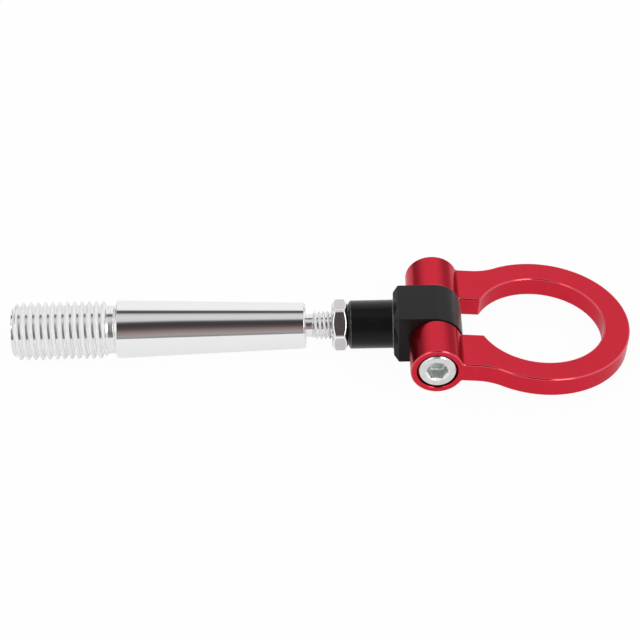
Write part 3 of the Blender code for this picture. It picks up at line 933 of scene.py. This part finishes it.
def make_knuckle(tow_hook):
    s = tow_hook.knuckle
    half_height = KNUCKLE_HIGH.z
    half_width = KNUCKLE_HIGH.y
    neck_x = KNUCKLE_LOW.x
    block_x = neck_x + s.neck_length
    back = HINGE.x - block_x
    chamfered = back - s.block_chamfer

    # The block is what its plan and its side view have in common
    near = [
        (-back, -half_width + s.block_chamfer),
        (-chamfered, -half_width),
        (half_height + CUT_PAST, -half_width),
    ]
    side = [(-chamfered, -half_height)]
    side += arc((0, 0), half_height, -QUARTER, QUARTER, SIDE_STEP)
    side += [
        (-chamfered, half_height),
        (-back, half_height - s.block_chamfer),
        (-back, -half_height + s.block_chamfer),
    ]
    at_hinge = Matrix.Translation(HINGE)
    to_side = at_hinge @ Matrix.Rotation(QUARTER, 4, "X")
    block = prism("black_knuckle", near + mirrored(near), half_height + CUT_PAST, at_hinge)
    combine(block, prism("side", side, half_width + CUT_PAST, to_side), "INTERSECT")
    round_edges(block, s.edge)

    radius = s.neck_diameter / 2
    seat = s.seat_diameter / 2
    neck_end = [
        (neck_x - s.seat_rise, 0),
        (neck_x - s.seat_rise, seat),
        (neck_x, seat),
        (neck_x, radius - s.neck_chamfer),
        (neck_x + s.neck_chamfer, radius),
        (neck_x + s.neck_chamfer * 2, radius),
    ]
    corner = (block_x - s.neck_fillet, radius + s.neck_fillet)
    inside = block_x + OVERLAP
    neck = [
        *eased(neck_end, s.neck_edge),
        *arc(corner, s.neck_fillet, -QUARTER, 0, FILLET_STEP),
        (inside, radius + s.neck_fillet),
        (inside, 0),
    ]
    combine(block, turned_object("neck", neck, ROUND_COLUMNS), "UNION")

    stud = s.stud_bore / 2
    bore_end = neck_x + s.bore_depth
    stud_hole = flared(neck_x, stud, s.mouth) + [(bore_end, stud), (bore_end, 0)]
    bore(block, stud_hole, HOLE_COLUMNS)
    half_hole = flared(-half_width, s.cross_bore / 2, s.mouth)
    screw_hole = half_hole + [(-x, r) for x, r in reversed(half_hole)]
    bore(block, screw_hole, HOLE_COLUMNS, at_hinge @ Matrix.Rotation(QUARTER, 4, "Z"))
    dress(block, black_finish(s), painted_highlight_edge(s))
    finish_shading(block)
    # Faces on a band of the fillet and round the neck's end edge take the painted highlight
    neck_corner = Vector((neck_x + s.neck_chamfer, radius))
    for face in block.data.polygons:
        middle = Vector((face.center.x, face.center.yz.length))
        before_block = (block_x - middle.x) / s.neck_fillet
        on_fillet = s.worn_to < before_block < s.worn_from
        on_fillet = on_fillet and radius < middle.y < radius + s.neck_fillet
        on_corner = (middle - neck_corner).length < s.worn_width
        face.material_index = 1 if on_fillet or on_corner else 0
    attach(block, "shank")
    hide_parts("knuckle_block")


class TOWHOOK_OT_knuckle(bpy.types.Operator):
    """Make the black knuckle"""

    bl_idname = "towhook.knuckle"
    bl_label = "Knuckle"

    def execute(self, context):
        make_knuckle(context.scene.tow_hook)
        return {"FINISHED"}


def ring_plan(s):
    """The ring, its arms and ears seen from above, from the hinge's axis."""
    outer = RING_HIGH.y
    inner = s.inner_diameter / 2
    gap = s.gap / 2
    behind = -s.ear_diameter / 2 - CUT_PAST
    fillet_y = s.ears_width / 2 + s.arm_fillet
    fillet_x = s.reach - math.sqrt((outer + s.arm_fillet) ** 2 - fillet_y**2)
    toward_ring = math.atan2(-fillet_y, s.reach - fillet_x)
    arm = [(behind, s.ears_width / 2)]
    arm += arc((fillet_x, fillet_y), s.arm_fillet, -QUARTER, toward_ring, PLAN_STEP)
    blend = math.atan2(fillet_y, fillet_x - s.reach)
    outside = arc((s.reach, 0), outer, blend, -blend, PLAN_STEP)[1:-1]
    mouth = math.pi - math.asin(gap / inner)
    inside = arc((s.reach, 0), inner, -mouth, mouth, PLAN_STEP)
    return arm + outside + mirrored(arm) + [(behind, -gap)] + inside + [(behind, gap)]


def ring_side(s):
    """The ring seen along the hinge: a round ear blended into a flat plate."""
    ear = s.ear_diameter / 2
    half = s.thickness / 2
    fillet_y = half + s.ear_fillet
    fillet_x = math.sqrt((ear + s.ear_fillet) ** 2 - fillet_y**2)
    toward_axis = math.atan2(-fillet_y, -fillet_x)
    blend = math.atan2(fillet_y, fillet_x)
    upper = [(s.reach + RING_HIGH.y + CUT_PAST, half)]
    upper += arc((fillet_x, fillet_y), s.ear_fillet, -QUARTER, toward_axis, FILLET_STEP)
    around = arc((0, 0), ear, blend, math.tau - blend, SIDE_STEP)[1:-1]
    return upper + around + mirrored(upper)


def make_ring(tow_hook):
    s = tow_hook.ring
    ring = prism("red_ring", ring_plan(s), s.ear_diameter / 2 + CUT_PAST, RING_FRAME)
    broad = red_finish("red_anodised", s, s.metal, s.coat, s.roughness)
    # The rounded edges take the paler red, a painted highlight
    edges = red_finish("red_edges", s, s.edge_painted_highlight, s.edge_coat, s.edge_roughness)
    dress(ring, broad, edges)
    to_side = RING_FRAME @ Matrix.Rotation(QUARTER, 4, "X")
    combine(ring, prism("side", ring_side(s), RING_HIGH.y + CUT_PAST, to_side), "INTERSECT")
    round_edges(ring, s.edge)

    outer = s.ears_width / 2
    screw = s.screw_bore / 2
    hole = flared(-outer, screw, s.mouth) + [(outer, screw), (outer, 0)]
    bore(ring, hole, HOLE_COLUMNS, SCREW_FRAME)
    seat = s.counterbore / 2
    counterbore = [
        (s.counterbore_floor, 0),
        (s.counterbore_floor, seat),
        (outer - s.edge / 2, seat),
        (outer + CUT_PAST, seat + s.edge / 2 + CUT_PAST),
        (outer + CUT_PAST, 0),
    ]
    bore(ring, counterbore, ROUND_COLUMNS, SCREW_FRAME)
    finish_shading(ring)
    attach(ring, "ring")
    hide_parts("tow_ring")


class TOWHOOK_OT_ring(bpy.types.Operator):
    """Make the red ring with its arms and ears"""

    bl_idname = "towhook.ring"
    bl_label = "Ring"

    def execute(self, context):
        make_ring(context.scene.tow_hook)
        return {"FINISHED"}


def make_screw(tow_hook):
    s = tow_hook.screw
    plated = plated_steel(s)
    top = tow_hook.ring.ears_width / 2
    seat = top - s.head_height
    head = s.head_diameter / 2
    shank = s.diameter / 2
    root = shank - THREAD_DEPTH * s.pitch
    tip = s.tip_depth - top
    tip_radius = shank - s.tip_chamfer
    thread_end = tip + s.threaded
    flat = s.socket / 2
    floor = top - s.socket_depth
    mouth = s.socket_mouth / 2
    half = SIXTH / 2

    def outline_at(a):
        wall = flat / math.cos((a - half) % SIXTH - half)
        inside = [
            (floor - s.socket_point, 0),
            (floor, wall - s.socket_corner),
            (floor + s.socket_corner, wall),
            (top - (mouth - wall), wall),
            (top, mouth),
        ]
        outside = [
            (top, head - s.head_chamfer),
            (top - s.head_chamfer, head),
            (seat, head),
            (seat, shank),
            (thread_end + shank - root, shank),
            (thread_end, root),
        ]
        return eased(inside + outside, s.edge)

    screw_thread = {
        "Crest Radius": shank,
        "Pitch": s.pitch,
        "Crest Place": tip,
        "Start": tip,
        "End": thread_end,
        "Rise Start": tip,
        "Rise End": tip + s.tip_chamfer,
        "Rise Radius": tip_radius,
        "Fall Start": thread_end - s.pitch,
        "Fall Radius": root,
    }
    angles = even_angles(s.columns)
    walls = [
        turned(outline_at, angles),
        thread(screw_thread, s, plated),
        turned(lambda a: [(tip, tip_radius), (tip, 0)], angles),
    ]
    shape = merged(walls)
    # Slants in the socket take the painted highlight, the rest of the socket the painted shade
    low, high = SLANT_NORMAL
    for face in shape.faces:
        middle = face.calc_center_median()
        in_socket = middle.x > seat + s.edge and middle.yz.length < mouth
        on_slant = in_socket and low < abs(face.normal.x) < high
        face.material_index = 2 if on_slant else 1 if in_socket else 0
    finishes = [plated, socket_steel(s), broached_steel(s)]
    piece = as_object("cap_screw", shape, finishes, SCREW_FRAME)
    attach(piece, "ring")
    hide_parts("pivot_bolt")


class TOWHOOK_OT_screw(bpy.types.Operator):
    """Make the socket head cap screw"""

    bl_idname = "towhook.screw"
    bl_label = "Cap screw"

    def execute(self, context):
        make_screw(context.scene.tow_hook)
        return {"FINISHED"}


# Degrees above the far horizon, round over the top, and the light that comes from there
STUDIO_STRIPS = (
    (-180, (0.93, 0.93, 0.93)),
    (-175, (0.93, 0.93, 0.94)),
    (-2, (0.95, 0.95, 0.95)),
    (50, (0.97, 0.97, 0.97)),
    (56, (0.85, 0.85, 0.85)),
    (62, (0.12, 0.12, 0.12)),
    (68, (0.06, 0.06, 0.06)),
    (72, (0.14, 0.14, 0.14)),
    (80, (0.64, 0.64, 0.64)),
    (92, (0.73, 0.73, 0.73)),
    (104, (0.66, 0.66, 0.66)),
    (112, (0.13, 0.13, 0.13)),
    (118, (0.052, 0.052, 0.054)),
    (130, (0.06, 0.052, 0.053)),
    (140, (0.12, 0.085, 0.085)),
    (152, (0.28, 0.215, 0.21)),
    (168, (0.38, 0.35, 0.34)),
    (176, (0.3, 0.285, 0.28)),
    (180, (0.27, 0.255, 0.25)),
)

# The studio's other changes by degrees: where each starts and ends, and its values there
CAMERA_SIDE = (95, 110, 0, 1)
GREY_ROOM = (135, 158, 0.38, 0.14)
LOW_DOWN = (25, 45, 1, 0)

# The same by x along the shank, which goes from -1 to 1
CEILING_LEAN = (-0.09, -0.015, -9, 0)
PAST_CEILING = (-0.1, -0.096, 1, 0)
NEAR_SCREEN_START = (-0.1, 0.1, 0.45, 0.25)
LAMP_LIGHT = (-0.1, 0.1, 1.8, 5)
BEFORE_RIGHT_SCREEN = (0.68, 0.8, 1, 0)
BEFORE_LEFT_SCREEN = (-0.98, -0.93, 0, 1)
ROOM_LIGHT = (-0.8, -0.5, 0.06, 0.38)

# The same by distance from the middle, past a screen's start, and squared for the lamps
PAST_BACKDROP = (0.2, 0.55, 0, 1)
SCREEN_FADE = (0, 0.12, 0, 1)
LAMP_FADE = (0.7, 1, 1, 0)

# Where the far screens start, their light, and the middle and reach of the lamps
FAR_SCREEN_START = 0.3
SCREEN_LIGHT = (0.95, 0.95, 0.95, 1)
LAMP_ASIDE = (0.45, 0.15)
LAMP_AROUND = (132, 26)


def make_floor(s):
    """A pale floor that the camera sees nearly white, and reflections less so."""
    half = s.floor_size / 2
    low = SHAFT_LOW.z
    mesh = bpy.data.meshes.new("floor")
    corners = [(-half, -half, low), (half, -half, low), (half, half, low), (-half, half, low)]
    mesh.from_pydata(corners, [], [(0, 1, 2, 3)])
    floor = add_object("floor", mesh)
    m = Finish("pale_floor", s.floor, 0.0, s.floor_roughness)
    m.inputs["Specular IOR Level"].default_value = 0.0
    glow = m.node("ShaderNodeEmission")
    glow.inputs["Strength"].default_value = 1.0
    rays = m.node("ShaderNodeLightPath").outputs
    mirrored_rays = m.calc("MAXIMUM", rays["Is Glossy Ray"], rays["Is Transmission Ray"])
    mirrored_share = m.times(mirrored_rays, s.floor_mirrored)
    seen_share = m.times(rays["Is Camera Ray"], s.floor_seen)
    share = m.calc("MAXIMUM", mirrored_share, seen_share)
    m.mix_surface("Material Output", share, m.shader.outputs[0], glow.outputs[0])
    mesh.materials.append(m.material)


def make_world(scene):
    """A studio of long strips that lie along the shank, by their angle above the far
    horizon: a white backdrop, a gap, a softbox overhead, a dark ceiling, and the room
    behind the camera. White screens close its two ends."""
    world = bpy.data.worlds.new("studio")
    scene.world = world
    world.use_nodes = True
    m = Maths(world.node_tree)
    direction = m.node("ShaderNodeTexCoord").outputs["Generated"]
    x, y, z = m.node("ShaderNodeSeparateXYZ", direction).outputs
    around = m.calc("DEGREES", m.calc("ARCTAN2", z, y))
    aside = m.calc("ABSOLUTE", x)

    camera_side = m.spread(around, *CAMERA_SIDE)
    leaning = m.plus(around, m.times(camera_side, m.spread(x, *CEILING_LEAN)))
    ramp = m.node("ShaderNodeValToRGB", m.over(m.plus(leaning, 180), 360))
    stops = ramp.color_ramp.elements
    first, *inner, last = STUDIO_STRIPS
    stops[0].color = (*first[1], 1)
    stops[1].color = (*last[1], 1)
    for degrees, strip_light in inner:
        stops.new((degrees + 180) / 360).color = (*strip_light, 1)

    # Past the ceiling's left end, the room behind the camera is grey
    past_ceiling = m.times(camera_side, m.spread(x, *PAST_CEILING))
    light = m.blend(past_ceiling, ramp.outputs[0], m.spread(around, *GREY_ROOM))

    # On the camera's side the screens start further out at the left than at the right
    near_start = m.spread(x, *NEAR_SCREEN_START)
    screens_from = m.spread(camera_side, 0, 1, FAR_SCREEN_START, near_start)
    screens = m.spread(m.minus(aside, screens_from), *SCREEN_FADE)
    light = m.blend(screens, light, SCREEN_LIGHT)

    # A bright lamp on each side of the camera, the right one stronger
    lamp_parts = []
    for place, (middle, reach) in ((aside, LAMP_ASIDE), (around, LAMP_AROUND)):
        lamp_parts.append(m.calc("POWER", m.over(m.minus(place, middle), reach), 2))
    lamp = m.spread(m.plus(*lamp_parts), *LAMP_FADE)
    light = m.blend(lamp, light, m.spread(x, *LAMP_LIGHT))

    # The dark room shows low down, past both edges of the backdrop
    low = m.spread(around, *LOW_DOWN)
    past_edge = m.spread(aside, *PAST_BACKDROP)
    right = m.spread(x, *BEFORE_RIGHT_SCREEN)
    left = m.spread(x, *BEFORE_LEFT_SCREEN)
    room = m.times(low, m.times(past_edge, m.times(right, left)))
    light = m.blend(room, light, m.spread(x, *ROOM_LIGHT))

    background = m.tree.nodes["Background"]
    m.feed(background.inputs["Color"], light)
    white = m.node("ShaderNodeBackground")
    white.inputs["Color"].default_value = (1, 1, 1, 1)
    seen = m.node("ShaderNodeLightPath").outputs["Is Camera Ray"]
    m.mix_surface("World Output", seen, background.outputs[0], white.outputs[0])


def make_camera(scene, s):
    back = Vector(
        (
            math.sin(s.azimuth) * math.cos(s.elevation),
            -math.cos(s.azimuth) * math.cos(s.elevation),
            math.sin(s.elevation),
        )
    )
    level = Vector((math.cos(s.azimuth), math.sin(s.azimuth), 0))
    upright = back.cross(level).normalized()
    right = level * math.cos(s.roll) + upright * math.sin(s.roll)
    up = upright * math.cos(s.roll) - level * math.sin(s.roll)
    aim = HINGE - Vector((s.aim_back, 0, 0)) + up * s.aim_up
    data = bpy.data.cameras.new("camera")
    data.lens = s.lens
    data.clip_start = s.clip_start
    camera = add_object("camera", data)
    turn = Matrix((right, up, back)).transposed().to_4x4()
    camera.matrix_world = Matrix.Translation(aim + back * s.distance) @ turn
    scene.camera = camera


class TOWHOOK_OT_studio(bpy.types.Operator):
    """Make the floor, the light and the camera"""

    bl_idname = "towhook.studio"
    bl_label = "Studio"

    def execute(self, context):
        scene = context.scene
        make_floor(scene.tow_hook.studio)
        make_world(scene)
        make_camera(scene, scene.tow_hook.studio)
        scene.view_settings.view_transform = "Standard"
        return {"FINISHED"}


class TOWHOOK_PT_pieces(bpy.types.Panel):
    """Lists the pieces of the tow hook"""

    bl_idname = "TOWHOOK_PT_pieces"
    bl_label = "Tow Hook"
    bl_space_type = "VIEW_3D"
    bl_region_type = "UI"
    bl_category = "Tow Hook"

    def draw(self, context):
        for operator in OPERATORS:
            self.layout.operator(operator.bl_idname)
        tow_hook = context.scene.tow_hook
        for group in tow_hook.bl_rna.properties:
            if group.type != "POINTER" or group.identifier == "rna_type":
                continue
            values = getattr(tow_hook, group.identifier)
            box = self.layout.box()
            box.label(text=group.identifier.title())
            for name in values.__annotations__:
                box.prop(values, name)


SETTINGS = (
    ShaftSettings,
    NutSettings,
    KnuckleSettings,
    RingSettings,
    ScrewSettings,
    StudioSettings,
    TowHookSettings,
)
OPERATORS = (
    TOWHOOK_OT_studio,
    TOWHOOK_OT_shaft,
    TOWHOOK_OT_nut,
    TOWHOOK_OT_knuckle,
    TOWHOOK_OT_ring,
    TOWHOOK_OT_screw,
)
CLASSES = (*SETTINGS, *OPERATORS, TOWHOOK_PT_pieces)


def register():
    for made in CLASSES:
        bpy.utils.register_class(made)
    bpy.types.Scene.tow_hook = PointerProperty(type=TowHookSettings)


def unregister():
    del bpy.types.Scene.tow_hook
    for made in reversed(CLASSES):
        bpy.utils.unregister_class(made)


def main():
    register()
    bpy.ops.towhook.studio()
    bpy.ops.towhook.shaft()
    bpy.ops.towhook.nut()
    bpy.ops.towhook.knuckle()
    bpy.ops.towhook.ring()
    bpy.ops.towhook.screw()


if __name__ == "__main__":
    main()
